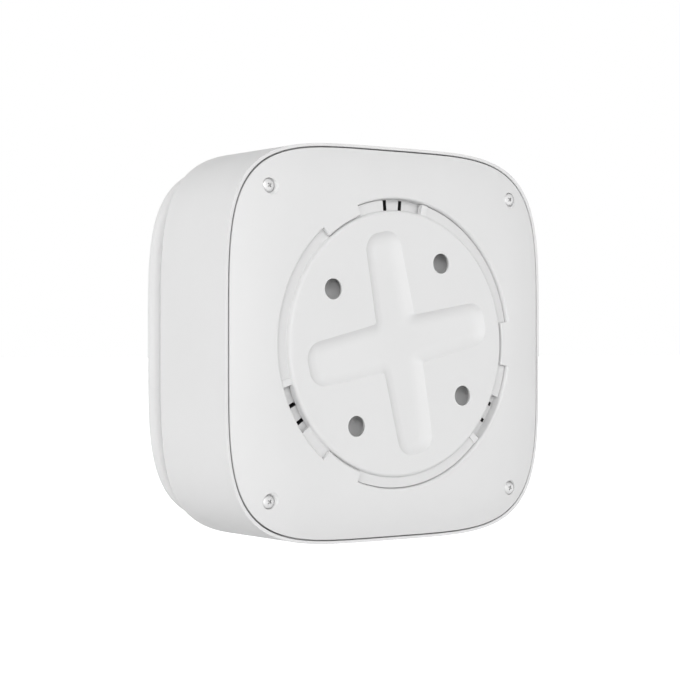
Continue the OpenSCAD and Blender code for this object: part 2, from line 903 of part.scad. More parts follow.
mounting_plate();
back_cover();
cover_screws();
outer_shell();
front_cap();
inlet_grille();
cap_screws();
main_board();
board_screws();
board_parts();
smoke_chamber_base();
smoke_chamber_lid();
insect_screen();
light_emitter();
light_receiver();
heat_sensor();
sounder_horn();
sounder_disc();
battery_holder();
battery_cells();
battery_contacts();
status_led();
light_pipe();
test_button();
button_clip();
button_switch();
switch_plunger();
tamper_plunger();
tamper_spring();
tamper_switch();
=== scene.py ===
# %% [markdown]
# # A square smoke detector, seen from its wall side
# The detector hangs on a round plate that is screwed to a wall or a ceiling. A short turn frees it.
# We see the side that normally hides: a crowned square cover, four small screws, and the round
# plate in its twist lock. This lesson builds the moulded pieces one by one around the packed
# CAD solids, gives every piece a finish, and lights the whole like a product picture.
# Everything is in metres. The wall side looks along -Y, the room side along +Y, and up is +Z.

# %% Load the frame
import json
import math

import bmesh
import bpy
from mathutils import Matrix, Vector


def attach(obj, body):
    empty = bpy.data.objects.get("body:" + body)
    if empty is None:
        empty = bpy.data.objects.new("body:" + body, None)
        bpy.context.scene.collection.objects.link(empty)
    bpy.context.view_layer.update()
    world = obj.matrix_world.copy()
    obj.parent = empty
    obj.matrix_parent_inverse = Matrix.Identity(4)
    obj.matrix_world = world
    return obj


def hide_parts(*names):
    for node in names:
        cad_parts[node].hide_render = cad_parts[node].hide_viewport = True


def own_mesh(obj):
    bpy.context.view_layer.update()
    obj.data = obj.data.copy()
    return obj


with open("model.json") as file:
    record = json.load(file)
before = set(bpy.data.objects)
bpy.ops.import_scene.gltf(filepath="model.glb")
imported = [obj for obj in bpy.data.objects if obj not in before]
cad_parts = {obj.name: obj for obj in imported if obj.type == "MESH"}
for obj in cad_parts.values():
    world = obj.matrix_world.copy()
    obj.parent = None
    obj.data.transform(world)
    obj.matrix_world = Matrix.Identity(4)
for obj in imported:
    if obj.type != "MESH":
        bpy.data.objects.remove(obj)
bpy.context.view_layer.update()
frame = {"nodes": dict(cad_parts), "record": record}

MM = 0.001
nodes = frame["nodes"]

# %% [markdown]
# ## The camera
# The picture was taken from the left of the plate, almost level with it, with a long lens.
# The lens and the place were solved from points of the square face in the picture. A long lens
# keeps the sides of that face nearly parallel. Blender's camera looks along its own -Z, so the
# viewing direction is turned into a rotation with to_track_quat.

# %% Camera
camera_data = bpy.data.cameras.new("camera")
camera_data.sensor_width = 36.0
camera_data.lens = 98.41
camera_data.clip_start = 0.01
camera = bpy.data.objects.new("camera", camera_data)
bpy.context.scene.collection.objects.link(camera)
camera.location = (-0.3577, -0.4638, -0.0012)
view_direction = Vector((0.5849, 0.8110, 0.0040))
camera.rotation_euler = view_direction.to_track_quat("-Z", "Y").to_euler()
bpy.context.scene.camera = camera
print("camera at", [round(c, 3) for c in camera.location])

# %% [markdown]
# ## Helpers for selecting
# Operators act on all that is selected, and the frame's nodes are still selected after loading.
# So each step first lets go of everything, and then takes hold of one piece only.

# %% Selection helpers
def let_go():
    if bpy.context.mode != "OBJECT":
        bpy.ops.object.mode_set(mode="OBJECT")
    bpy.ops.object.select_all(action="DESELECT")


def take(piece):
    let_go()
    piece.select_set(True)
    bpy.context.view_layer.objects.active = piece


let_go()
print("nothing is selected now")

# %% [markdown]
# ## Outlines and bearings
# Nearly every piece of a moulded housing is one wall that runs all the way round, so a point of it
# is told by a bearing and a reach from the middle. Bearings run clockwise from the top, as seen from
# the wall. The housing's outline is a superellipse, a curve between a circle and a square, because
# one formula then gives its long soft corners. A bearing that a feature needs, such as the end of a
# lug, takes the place of its nearest neighbour, so that later steps find an edge there.

# %% Outlines and bearings
SQUARENESS = 4.45


def square_outline(half, power=SQUARENESS):
    """The housing's outline: a superellipse between a circle and a square."""
    def reach(turn):
        total = abs(math.sin(turn)) ** power + abs(math.cos(turn)) ** power
        return half / total ** (1 / power)
    return reach


def arc(steps, first, last):
    """Angles from first to last, given in degrees and returned in radians."""
    return [math.radians(first + (last - first) * i / steps) for i in range(steps + 1)]


def turn_off(bearing, at):
    """Degrees between two bearings, always from 0 to 180."""
    return abs((bearing - at + 180) % 360 - 180)


def even_bearings(count, marks=()):
    """Evenly spaced bearings in degrees, with the marks in place of their nearest neighbours."""
    bearings = [360 * i / count for i in range(count)]
    free = set(range(count))
    for mark in sorted(m % 360 for m in marks):
        near = min(free, key=lambda i: turn_off(bearings[i], mark))
        free.discard(near)
        bearings[near] = mark
    return sorted(bearings)


print("corner reach at a half width of 1:", round(square_outline(1)(math.pi / 4), 3))

# %% [markdown]
# ## Pulling a wall
# By hand one would add a circle, extrude it again and again, and scale and move each new ring.
# These helpers do the same: a ring is pulled out of the last one, and each of its points slides
# along its own bearing to the reach and depth that the outline asks for. The normals are turned
# outwards at the end, because the order of the rings decides which way the new faces look.

# %% Pulling a wall
def place_ring(points, outline, depth):
    for point in points:
        turn = math.atan2(point.co.x, point.co.z)
        reach = outline(turn) * MM
        level = depth(turn) if callable(depth) else depth
        point.co = (reach * math.sin(turn), level * MM, reach * math.cos(turn))


def pull_ring(outline, depth):
    """Extrudes the selected ring and puts the new ring in place."""
    bpy.ops.mesh.extrude_edges_move()
    mesh = bpy.context.object.data
    edit = bmesh.from_edit_mesh(mesh)
    place_ring([p for p in edit.verts if p.select], outline, depth)
    bmesh.update_edit_mesh(mesh)


def moulded_wall(name, bearings, rings, closed=True):
    """Pulls a wall through rings of (outline, depth in mm) and leaves it in edit mode."""
    let_go()
    fill = "NGON" if closed else "NOTHING"
    bpy.ops.mesh.primitive_circle_add(vertices=len(bearings), radius=1, fill_type=fill)
    piece = bpy.context.object
    piece.name = name
    piece.data.name = name
    for point, bearing in zip(piece.data.vertices, bearings):
        turn = math.radians(bearing)
        point.co = (math.sin(turn), 0, math.cos(turn))
    place_ring(piece.data.vertices, *rings[0])
    bpy.ops.object.mode_set(mode="EDIT")
    bpy.ops.mesh.select_mode(type="EDGE")
    bpy.ops.mesh.select_all(action="SELECT")
    for outline, depth in rings[1:]:
        pull_ring(outline, depth)
    if closed:
        bpy.ops.mesh.edge_face_add()
    return piece


def face_outwards():
    bpy.ops.mesh.select_all(action="SELECT")
    bpy.ops.mesh.normals_make_consistent(inside=False)


print("walls can be pulled now")

# %% [markdown]
# ## Finishing a piece
# A mould leaves no sharp edge, so a Bevel modifier rounds each one by a fraction of a millimetre.
# Smooth shading by angle, with weighted normals, then keeps the flat faces flat. Each modifier is
# applied at once, so that the mesh is what the picture shows. At the end a piece is handed to the
# body that it moves with.

# %% Finishing a piece
SAME_POINT, EDGE_ANGLE = 0.00003, 38
made_pieces = []


def apply_modifier(piece, kind, **settings):
    modifier = piece.modifiers.new(kind.lower(), kind)
    for key, value in settings.items():
        setattr(modifier, key, value)
    bpy.ops.object.modifier_apply(modifier=modifier.name)


def soften(piece, width, segments=3, angle=EDGE_ANGLE):
    """Rounds every edge sharper than the angle, as a mould does."""
    take(piece)
    apply_modifier(piece, "BEVEL", width=width * MM, segments=segments, limit_method="ANGLE",
                   angle_limit=math.radians(angle), use_clamp_overlap=True)


def shade(piece):
    """Smooth shading that keeps flat faces flat."""
    take(piece)
    bpy.ops.object.shade_smooth_by_angle(angle=math.radians(EDGE_ANGLE))
    apply_modifier(piece, "WEIGHTED_NORMAL", keep_sharp=True, weight=50)


def settle(piece, body, slot, *replaced):
    """Hands a finished piece to its body and its record slot, and notes it for its finish."""
    take(piece)
    bpy.ops.object.mode_set(mode="EDIT")
    bpy.ops.mesh.select_all(action="SELECT")
    bpy.ops.mesh.remove_doubles(threshold=SAME_POINT * MM)
    bpy.ops.object.mode_set(mode="OBJECT")
    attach(piece, body)
    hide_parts(*replaced)
    made_pieces.append((piece, slot))
    print(piece.name, "rides on", body, "faces:", len(piece.data.polygons))


print("pieces can be finished now")

# %% [markdown]
# ## The housing wall
# The housing is a deep square tub, open towards the wall. Its rim is thin, because the cover
# sits in a step just inside it, and only that thin rim shows around the cover. One wall is
# pulled from the inside of the front, out to the rim, and back over the outside. The outer
# front edge gets a larger radius than the rim, so its rings follow a small arc.

# %% Housing wall
BODY_HALF = 62.2
RIM_WALL = 0.92
SHELL_BACK, SHELL_FRONT, SHELL_STEP = 4.05, 42.5, 6.8
SHELL_INSIDE, FRONT_INSIDE = 59.8, 40.3
FRONT_EDGE, CORE_HALF, WALL_LEVELS = 0.7, 30, (8, 20, 32)
shell_rings = [
    (square_outline(CORE_HALF), FRONT_INSIDE),
    (square_outline(SHELL_INSIDE), FRONT_INSIDE),
    (square_outline(SHELL_INSIDE), SHELL_STEP),
    (square_outline(BODY_HALF - RIM_WALL), SHELL_STEP),
    (square_outline(BODY_HALF - RIM_WALL), SHELL_BACK),
    (square_outline(BODY_HALF), SHELL_BACK),
]
for level in WALL_LEVELS:
    shell_rings.append((square_outline(BODY_HALF), level))
for a in arc(4, 0, 90):
    half = BODY_HALF - FRONT_EDGE + FRONT_EDGE * math.cos(a)
    shell_rings.append((square_outline(half), SHELL_FRONT - FRONT_EDGE + FRONT_EDGE * math.sin(a)))
shell_rings.append((square_outline(CORE_HALF), SHELL_FRONT))
shell = moulded_wall("housing_wall", even_bearings(360), shell_rings)
face_outwards()
soften(shell, 0.18)
print("housing wall, points:", len(shell.data.vertices))

# %% [markdown]
# The front of the housing is open behind the cap, for the smoke chamber and the sounder.
# A long rounded tool cuts that window: a cube, stretched to a block, with its four short edges
# bevelled.

# %% Housing window
WINDOW_HALF, WINDOW_REACH, WINDOW_CORNER = 18.2, 41.2, 18.0
WINDOW_Y, WINDOW_DEPTH = 41.4, 8.0


def pick_edges(piece, test):
    """Selects the edges that pass the test, which gets the edge and its two ends in mm."""
    bpy.ops.mesh.select_mode(type="EDGE")
    bpy.ops.mesh.select_all(action="DESELECT")
    edit = bmesh.from_edit_mesh(piece.data)
    for edge in edit.edges:
        if test(edge, *[v.co / MM for v in edge.verts]):
            edge.select_set(True)
    bmesh.update_edit_mesh(piece.data)


def cut(piece, tool):
    """Takes the tool's shape out of the piece and removes the tool."""
    take(piece)
    apply_modifier(piece, "BOOLEAN", operation="DIFFERENCE", solver="EXACT", object=tool)
    bpy.data.objects.remove(tool, do_unlink=True)


let_go()
bpy.ops.mesh.primitive_cube_add(size=1, location=(0, WINDOW_Y * MM, 0))
window = bpy.context.object
bpy.ops.transform.resize(value=(2 * WINDOW_HALF * MM, WINDOW_DEPTH * MM, 2 * WINDOW_REACH * MM))
bpy.ops.object.transform_apply(location=True, rotation=True, scale=True)
bpy.ops.object.mode_set(mode="EDIT")
pick_edges(window, lambda edge, a, b: abs(a.y - b.y) > 1)
bpy.ops.mesh.bevel(offset=WINDOW_CORNER * MM, segments=16)
cut(shell, window)
shade(shell)
settle(shell, "detector", "shell_white", "outer_shell")

# %% [markdown]
# ## The back cover
# The cover is the large pale face of the picture. It is flat around its round opening and falls
# away towards its edge. Inside the opening lie a ledge, on which the plate's flange rests, and a
# deeper well. A spin would make the round parts and a lattice could make the square ones, but
# pulling rings through both keeps one clean mesh: the rings change from round to square. The lip
# of the opening is rounded, so its rings follow a quarter arc from the wall up to the face.

# %% Back cover wall
COVER_HALF = 60.84
CROWN_LOW, CROWN_EDGE, CROWN_START, CROWN_POWER = 0.2, 4.0, 0.7, 2.2
OPENING_R, LIP, WELL_R, WELL_Y, LEDGE_Y = 45.65, 0.8, 40.2, 6.5, 4.0
LUG_BACK, LUG_R, LUG_HALF, LUG_AT = 1.35, 42.4, 9.2, (-30, 90, 210)
SLOT_INNER, SLOT_OUTER, SLOT_W, SLOT_TURN = 39.5, 45.4, 1.3, 3.9
TONGUES = (0, 120, 240)
COVER_SKIN, EDGE_WALL, OVERCUT = 2.0, 2.2, 1.0
cover_edge = square_outline(COVER_HALF)


def round_outline(radius):
    return lambda turn: radius


def mixed_outline(inner, outer, share):
    return lambda turn: inner(turn) + (outer(turn) - inner(turn)) * share


def crown(outline, extra=0.0):
    """Depth of the cover's face under an outline."""
    def depth(turn):
        share = outline(turn) / cover_edge(turn)
        rise = max(0.0, (share - CROWN_START) / (1 - CROWN_START)) ** CROWN_POWER
        return CROWN_LOW + (CROWN_EDGE - CROWN_LOW) * rise + extra
    return depth


marks = [lug + side * LUG_HALF for lug in LUG_AT for side in (-1, 1)]
cover_rings = [(round_outline(r), y) for r, y in (
    (WELL_R - 1, WELL_Y), (WELL_R, WELL_Y), (WELL_R, LEDGE_Y), (OPENING_R, LEDGE_Y),
    (OPENING_R, LUG_BACK))]
lip_outline = round_outline(OPENING_R + LIP)
for a in arc(5, 0, 90):
    cover_rings.append((round_outline(OPENING_R + LIP * (1 - math.cos(a))),
                        crown(lip_outline, LIP * (1 - math.sin(a)))))
for k in range(1, 16):
    outline = mixed_outline(lip_outline, cover_edge, k / 15)
    cover_rings.append((outline, crown(outline)))
cover_rings += [(cover_edge, SHELL_STEP), (square_outline(COVER_HALF - EDGE_WALL), SHELL_STEP)]
tub_outline = round_outline(OPENING_R + COVER_SKIN)
for k in range(7):
    outline = mixed_outline(square_outline(COVER_HALF - EDGE_WALL), tub_outline, k / 6)
    cover_rings.append((outline, crown(outline, COVER_SKIN)))
cover_rings += [(round_outline(r), y) for r, y in (
    (OPENING_R + COVER_SKIN, LEDGE_Y + COVER_SKIN), (WELL_R + COVER_SKIN, LEDGE_Y + COVER_SKIN),
    (WELL_R + COVER_SKIN, WELL_Y + COVER_SKIN), (WELL_R - 1, WELL_Y + COVER_SKIN))]
cover = moulded_wall("back_cover_shell", even_bearings(360, marks), cover_rings)
face_outwards()
print("back cover, points:", len(cover.data.vertices))

# %% [markdown]
# Three lugs hold the plate. By hand one selects a strip of the opening's wall, with the rounded
# lip above it, and extrudes it towards the middle. The lug's top is then one with the cover's face
# and its inner end keeps the lip's rounding.

# %% Lugs
def pick_faces(test):
    """Selects the faces whose bearing (degrees), radius and depth (mm) pass the test."""
    bpy.ops.mesh.select_mode(type="FACE")
    bpy.ops.mesh.select_all(action="DESELECT")
    mesh = bpy.context.object.data
    edit = bmesh.from_edit_mesh(mesh)
    picked = 0
    for face in edit.faces:
        middle = face.calc_center_median()
        bearing = math.degrees(math.atan2(middle.x, middle.z))
        radius = math.hypot(middle.x, middle.z) / MM
        if test(bearing, radius, middle.y / MM):
            face.select_set(True)
            picked += 1
    bmesh.update_edit_mesh(mesh)
    return picked


def in_lug(bearing):
    return any(turn_off(bearing, lug) < LUG_HALF for lug in LUG_AT)


def extrude_radially(factor):
    bpy.ops.mesh.extrude_region_move()
    bpy.ops.transform.resize(value=(factor, 1, factor), center_override=(0, 0, 0))


lug_faces = pick_faces(lambda b, r, y: -0.1 < r - OPENING_R < LIP and y < LUG_BACK and in_lug(b))
extrude_radially(LUG_R / OPENING_R)
face_outwards()
print("lug strips:", lug_faces)

# %% [markdown]
# Pairs of narrow slots free a springy tongue in the ledge. Each slot is cut with a thin bar that
# lies along the radius and runs out into the well.

# %% Tongue slots
def bar(width, r0, r1, y0, y1, bearing):
    """A box that lies along a radius."""
    let_go()
    bpy.ops.mesh.primitive_cube_add(size=1)
    piece = bpy.context.object
    bpy.ops.object.mode_set(mode="EDIT")
    bpy.ops.transform.resize(value=(width * MM, (y1 - y0) * MM, (r1 - r0) * MM))
    bpy.ops.transform.translate(value=(0, (y0 + y1) / 2 * MM, (r0 + r1) / 2 * MM))
    bpy.ops.transform.rotate(value=-math.radians(bearing), orient_axis="Y",
                             center_override=(0, 0, 0))
    bpy.ops.object.mode_set(mode="OBJECT")
    return piece


def join(name, pieces):
    let_go()
    for piece in pieces:
        piece.select_set(True)
    bpy.context.view_layer.objects.active = pieces[0]
    bpy.ops.object.join()
    pieces[0].name = name
    pieces[0].data.name = name
    return pieces[0]


soften(cover, 0.14)
slot_bearings = [tongue + side * SLOT_TURN for tongue in TONGUES for side in (-1, 1)]
bars = [bar(SLOT_W, SLOT_INNER, SLOT_OUTER, LEDGE_Y - OVERCUT, LEDGE_Y + COVER_SKIN + OVERCUT, bearing)
        for bearing in slot_bearings]
cut(cover, join("bars", bars))
print("slots at bearings:", slot_bearings)

# %% [markdown]
# The screws sit in shallow round seats. Each seat is cut with a short drum whose mouth flares, so
# that the face rolls softly down to the screw head. The tamper plunger gets its hole in the well's
# floor from a plain drum.

# %% Screw seats
SCREW_AT, SEAT_R, SEAT_Y = 47.7, 2.25, 3.9
FLARE_FROM, FLARE_RISE, FLARE_R, MOUTH_IN = 2.67, 1.1, 1.0, 0.9
TAMPER_R, TAMPER_AT = 36.3, math.radians(60)
TAMPER_X, TAMPER_Z = TAMPER_R * math.sin(TAMPER_AT), TAMPER_R * math.cos(TAMPER_AT)
GUIDE_R, GUIDE_FROM, GUIDE_TO = 2.3, 6, 14
CORNERS = [(x, z) for x in (-SCREW_AT, SCREW_AT) for z in (-SCREW_AT, SCREW_AT)]


def shift(piece, x, z):
    """Moves a piece by millimetres, with its place kept in its mesh."""
    take(piece)
    bpy.ops.transform.translate(value=(x * MM, 0, z * MM))
    bpy.ops.object.transform_apply(location=True, rotation=True, scale=True)


def round_tool(name, rings, x, z):
    """A round cutting tool, pulled through its rings and moved to its place."""
    piece = moulded_wall(name, even_bearings(48), rings)
    face_outwards()
    shift(piece, x, z)
    return piece


def drum(radius, y0, y1, x, z):
    return round_tool("drum", [(round_outline(radius), y0), (round_outline(radius), y1)], x, z)


def seat(x, z):
    """A round seat whose mouth flares out softly into the cover's face."""
    rings = [(round_outline(SEAT_R), SEAT_Y)]
    for a in arc(6, 0, 75):
        rings.append((round_outline(SEAT_R + FLARE_R - FLARE_R * math.cos(a)),
                      FLARE_FROM - FLARE_RISE * math.sin(a)))
    rings.append((round_outline(SEAT_R + MOUTH_IN), -3 * OVERCUT))
    return round_tool("seat", rings, x, z)


seats = [seat(x, z) for x, z in CORNERS]
seats.append(drum(GUIDE_R, GUIDE_FROM, GUIDE_TO, TAMPER_X, TAMPER_Z))
cut(cover, join("seats", seats))
shade(cover)
settle(cover, "detector", "cover_white", "back_cover")

# %% [markdown]
# ## The mounting plate
# The plate is a thick disc with a soft cross pressed into it. The cross could be carved with a
# boolean, but its walls lean and their edges are round, so it is modelled by hand instead:
# a square, its four sides extruded to arms, corners bevelled, and then inset again and again
# along a curve that first turns down, then leans, then flattens out on the floor.

# %% Cross outline
CROSS_TURN, CROSS_MID, CROSS_END, CROSS_LENGTH = -11.8, 7.75, 6.75, 35.6
CROSS_DEPTH, CROSS_LEAN, CROSS_SOFT_TOP, CROSS_SOFT_FLOOR = 2.0, 2.0, 0.3, 6.2
CROSS_TIP_R, CROSS_CROOK_R = 5.2, 0.8
wall_tilt = math.atan2(CROSS_DEPTH, CROSS_LEAN)
lip = CROSS_SOFT_TOP * math.tan(wall_tilt / 2)
mid, tip, far_end = CROSS_MID + lip, CROSS_END + lip, CROSS_LENGTH + lip
let_go()
bpy.ops.mesh.primitive_plane_add(size=2 * mid * MM, rotation=(math.pi / 2, 0, 0))
cross = bpy.context.object
cross.name = "cross"
bpy.ops.object.transform_apply(location=True, rotation=True, scale=True)
bpy.ops.object.mode_set(mode="EDIT")
for dx, dz in ((1, 0), (-1, 0), (0, 1), (0, -1)):
    side = Vector((dx, 0, dz)) * mid
    pick_edges(cross, lambda edge, a, b: ((a + b) / 2 - side).length < 0.1)
    bpy.ops.mesh.extrude_edges_move()
    reach = (far_end - mid) * MM
    bpy.ops.transform.translate(value=(dx * reach, 0, dz * reach))
    taper = tip / mid
    bpy.ops.transform.resize(value=(taper if dz else 1, 1, taper if dx else 1),
                             center_override=(dx * far_end * MM, 0, dz * far_end * MM))
bpy.ops.mesh.select_mode(type="FACE")
bpy.ops.mesh.select_all(action="SELECT")
bpy.ops.mesh.dissolve_faces()


def round_corners(radius, test):
    bpy.ops.mesh.select_mode(type="VERT")
    bpy.ops.mesh.select_all(action="DESELECT")
    edit = bmesh.from_edit_mesh(cross.data)
    for point in edit.verts:
        if test(max(abs(point.co.x), abs(point.co.z)) / MM):
            point.select_set(True)
    bmesh.update_edit_mesh(cross.data)
    bpy.ops.mesh.bevel(offset=radius * MM, segments=10, affect="VERTICES")


round_corners(CROSS_TIP_R + lip, lambda far: far > 2 * mid)
round_corners(CROSS_CROOK_R, lambda far: far < 2 * mid)
print("cross outline, points:", len(bmesh.from_edit_mesh(cross.data).verts))

# %% [markdown]
# The wall's profile is a list of small steps, each a distance inwards and a distance down: an arc
# over the top edge, a straight lean, and a wider arc into the floor. The drawn outline already
# lies outside by the width of the top arc. Each step is one inset of the middle face.

# %% Cross walls
def recess_profile(top, floor, steps=9):
    """Points of inset and depth in mm, from the plate's face to the recess floor."""
    end = CROSS_LEAN + lip + floor * math.tan(wall_tilt / 2)
    over = [wall_tilt * i / steps for i in range(steps + 1)]
    points = [(top * math.sin(a), top * (1 - math.cos(a))) for a in over]
    points += [(end - floor * math.sin(a), CROSS_DEPTH - floor * (1 - math.cos(a)))
               for a in reversed(over)]
    return points


profile = recess_profile(CROSS_SOFT_TOP, CROSS_SOFT_FLOOR)
bpy.ops.mesh.select_mode(type="FACE")
bpy.ops.mesh.select_all(action="SELECT")
bpy.ops.mesh.normals_make_consistent(inside=False)
facing = bmesh.from_edit_mesh(cross.data).faces[:][0].normal.y
if facing > 0:
    bpy.ops.mesh.flip_normals()
for (inset_a, depth_a), (inset_b, depth_b) in zip(profile, profile[1:]):
    bpy.ops.mesh.inset(thickness=(inset_b - inset_a) * MM, depth=(depth_a - depth_b) * MM,
                       use_even_offset=True)
bpy.ops.object.mode_set(mode="OBJECT")
cross.rotation_euler = (0, math.radians(CROSS_TURN), 0)
bpy.ops.object.transform_apply(location=True, rotation=True, scale=True)
depths = [v.co.y / MM for v in cross.data.vertices]
print("cross recess, depth:", round(min(depths), 2), "to", round(max(depths), 2))

# %% [markdown]
# The disc itself is one wall again, from its soft top edge down to its back. Its flange is
# extruded out of the lower part of that wall, with three gaps that let the lugs pass, and beside
# each gap a stop rib rises from the flange. All of them come out in one extrusion. The sharp foot
# between disc and flange is bevelled at the end, as a mould would leave it.

# %% Plate disc and flange
PLATE_R, PLATE_EDGE, FLANGE_R, FLANGE_Y, PLATE_BACK = 42.0, 1.2, 45.4, 1.65, 3.1
STOP_Y, GAP_FROM, GAP_TO, STOP_TO = 1.22, -7.2, 12.8, 15.6
BACK_RIM, FOOT_ROUND = 2.6, 0.38
disc_marks = [t + a for t in TONGUES for a in (GAP_FROM, GAP_TO, STOP_TO)]
disc_rings = []
for a in arc(5, 0, 90):
    disc_rings.append((round_outline(PLATE_R - PLATE_EDGE + PLATE_EDGE * math.sin(a)),
                       PLATE_EDGE * (1 - math.cos(a))))
disc_rings += [(round_outline(r), y) for r, y in (
    (PLATE_R, STOP_Y), (PLATE_R, FLANGE_Y), (PLATE_R, PLATE_BACK),
    (PLATE_R - BACK_RIM, PLATE_BACK))]
disc = moulded_wall("disc", even_bearings(360, disc_marks), disc_rings, closed=False)


def in_span(bearing, first, last):
    return any(turn_off(bearing, t + (first + last) / 2) < (last - first) / 2 for t in TONGUES)


pick_faces(lambda b, r, y: r > PLATE_R - 0.1 and (
    (y > FLANGE_Y and not in_span(b, GAP_FROM, GAP_TO))
    or (y > STOP_Y and in_span(b, GAP_TO, STOP_TO))))
extrude_radially(FLANGE_R / PLATE_R)


def at_foot(point):
    return abs(math.hypot(point.x, point.z) - PLATE_R) < 0.05 and abs(point.y - FLANGE_Y) < 0.02


pick_edges(disc, lambda edge, a, b: at_foot(a) and at_foot(b)
           and not in_span(math.degrees(math.atan2(a.x + b.x, a.z + b.z)), GAP_FROM, STOP_TO))
bpy.ops.mesh.bevel(offset=FOOT_ROUND * MM, segments=4)
let_go()
print("plate disc, points:", len(disc.data.vertices))

# %% [markdown]
# Four plain holes take the wall screws. Each is a short tube with a tiny lead-in. Then disc, cross
# and tubes are joined, and Fill closes the flat faces between their open rims.

# %% Plate holes and faces
HOLE_R, HOLE_PCD, HOLE_AT, LEAD_IN = 3.2, 61.3, 33.2, 0.1
HOLE_LIP, RELIEF_R, RELIEF_SLOPE = 0.5, 4.8, 0.5
tubes = []
for k in range(4):
    tube = moulded_wall("tube", even_bearings(48), [
        (round_outline(HOLE_R + LEAD_IN), 0), (round_outline(HOLE_R), LEAD_IN),
        (round_outline(HOLE_R), HOLE_LIP), (round_outline(RELIEF_R), HOLE_LIP + RELIEF_SLOPE),
        (round_outline(RELIEF_R), PLATE_BACK)], closed=False)
    turn = math.radians(HOLE_AT + 90 * k)
    shift(tube, HOLE_PCD / 2 * math.sin(turn), HOLE_PCD / 2 * math.cos(turn))
    tubes.append(tube)
plate = join("wall_plate_disc", [disc, cross] + tubes)
bpy.ops.object.mode_set(mode="EDIT")
for level in (0, PLATE_BACK):
    pick_edges(plate, lambda edge, a, b: edge.is_boundary and abs(a.y - level) < 0.01
               and abs(b.y - level) < 0.01)
    bpy.ops.mesh.fill(use_beauty=True)
bpy.ops.mesh.select_all(action="SELECT")
bpy.ops.mesh.remove_doubles(threshold=0.005 * MM)
face_outwards()
edit = bmesh.from_edit_mesh(plate.data)
print("open edges left:", sum(e.is_boundary for e in edit.edges))
soften(plate, 0.2)
shade(plate)
settle(plate, "wall_plate", "plate_white", "mounting_plate")

# %% [markdown]
# ## The front cap
# On the room side a cap floats over the air inlets. Its edge is a full round nose, which the
# picture shows at the far left, and its face is slightly domed around the test button. The
# rings start round at the button's cup and turn square on the way to the edge.

# %% Front cap
CAP_SQUARENESS = 4.2
CAP_HALF, NOSE_R, NOSE_Y, CAP_FRONT, CAP_SKIN = 59.8, 2.2, 53.7, 58.3, 2.2
BUTTON_R, RUN_GAP, STEM_R, CUP_FLOOR, CUP_T = 13.0, 0.3, 3.0, 54.3, 1.5
CAP_FLAT = CAP_HALF - NOSE_R
CAP_BACK = NOSE_Y - NOSE_R
CAP_INSIDE, SHOULDER_H, SHOULDER_IN = 55.4, 3.4, 1.2
PIPE_AT, PIPE_R, PIPE_GAP, PIPE_FROM, PIPE_TO = 24.0, 1.5, 0.05, 49, 60
cup_r = BUTTON_R + RUN_GAP


def cap_edge(half):
    """The cap and the ring under it have rounder corners than the housing."""
    return square_outline(half, CAP_SQUARENESS)


cup_outline, cap_outline = round_outline(cup_r), cap_edge(CAP_FLAT)


def dome(outline, drop=0.0):
    """Depth of the cap's domed face under an outline."""
    def depth(turn):
        share = outline(turn) / cap_outline(turn)
        return CAP_FRONT - (CAP_FRONT - NOSE_Y - NOSE_R) * share ** 2 - drop
    return depth


cap_rings = [(round_outline(r), y) for r, y in ((STEM_R + RUN_GAP, CUP_FLOOR), (cup_r, CUP_FLOOR))]
for k in range(15):
    outline = mixed_outline(cup_outline, cap_outline, k / 14)
    cap_rings.append((outline, dome(outline)))
for a in arc(20, 90, -90)[1:]:
    cap_rings.append((cap_edge(CAP_FLAT + NOSE_R * math.cos(a)), NOSE_Y + NOSE_R * math.sin(a)))
cap_rings.append((cap_edge(CAP_INSIDE), CAP_BACK))
cup_outside = round_outline(cup_r + CUP_T)
cap_rings.append((cap_edge(CAP_INSIDE), CAP_FRONT - CAP_SKIN - SHOULDER_H))
for k in range(6):
    outline = mixed_outline(cap_edge(CAP_INSIDE - SHOULDER_IN), cup_outside, k / 5)
    cap_rings.append((outline, dome(outline, CAP_SKIN)))
cap_rings += [(cup_outside, CUP_FLOOR - CUP_T), (round_outline(STEM_R + RUN_GAP), CUP_FLOOR - CUP_T)]
cap = moulded_wall("front_cap_shell", even_bearings(360), cap_rings, closed=False)
pick_edges(cap, lambda edge, a, b: edge.is_boundary)
bpy.ops.mesh.bridge_edge_loops()
face_outwards()
soften(cap, 0.25)
cut(cap, drum(PIPE_R + PIPE_GAP, PIPE_FROM, PIPE_TO, PIPE_AT, 0))
shade(cap)
settle(cap, "detector", "cap_white", "front_cap")

# %% [markdown]
# ## The ring of air inlets
# Smoke enters between the housing and the cap through a ring of upright slots. They could be cut
# out of the ring one by one. Here the points of the ring are spaced in advance instead, so that
# each slot finds clean edges of its own.

# %% Inlet places
GRILLE_HALF, GRILLE_T, INLET_COUNT, INLET_W = 57.2, 1.6, 14, 4.0
INLET_SPAN, SILL, LINTEL = 1.5 * GRILLE_HALF, 1.2, 3.0
INLET_PITCH = INLET_SPAN / INLET_COUNT
INLET_LOW, INLET_HIGH = SHELL_FRONT + SILL, CAP_BACK - LINTEL


def side_bearing(across):
    """Bearing of a point on the ring's top side, by its distance from the middle."""
    up = (GRILLE_HALF ** CAP_SQUARENESS - abs(across) ** CAP_SQUARENESS) ** (1 / CAP_SQUARENESS)
    return math.degrees(math.atan2(across, up))


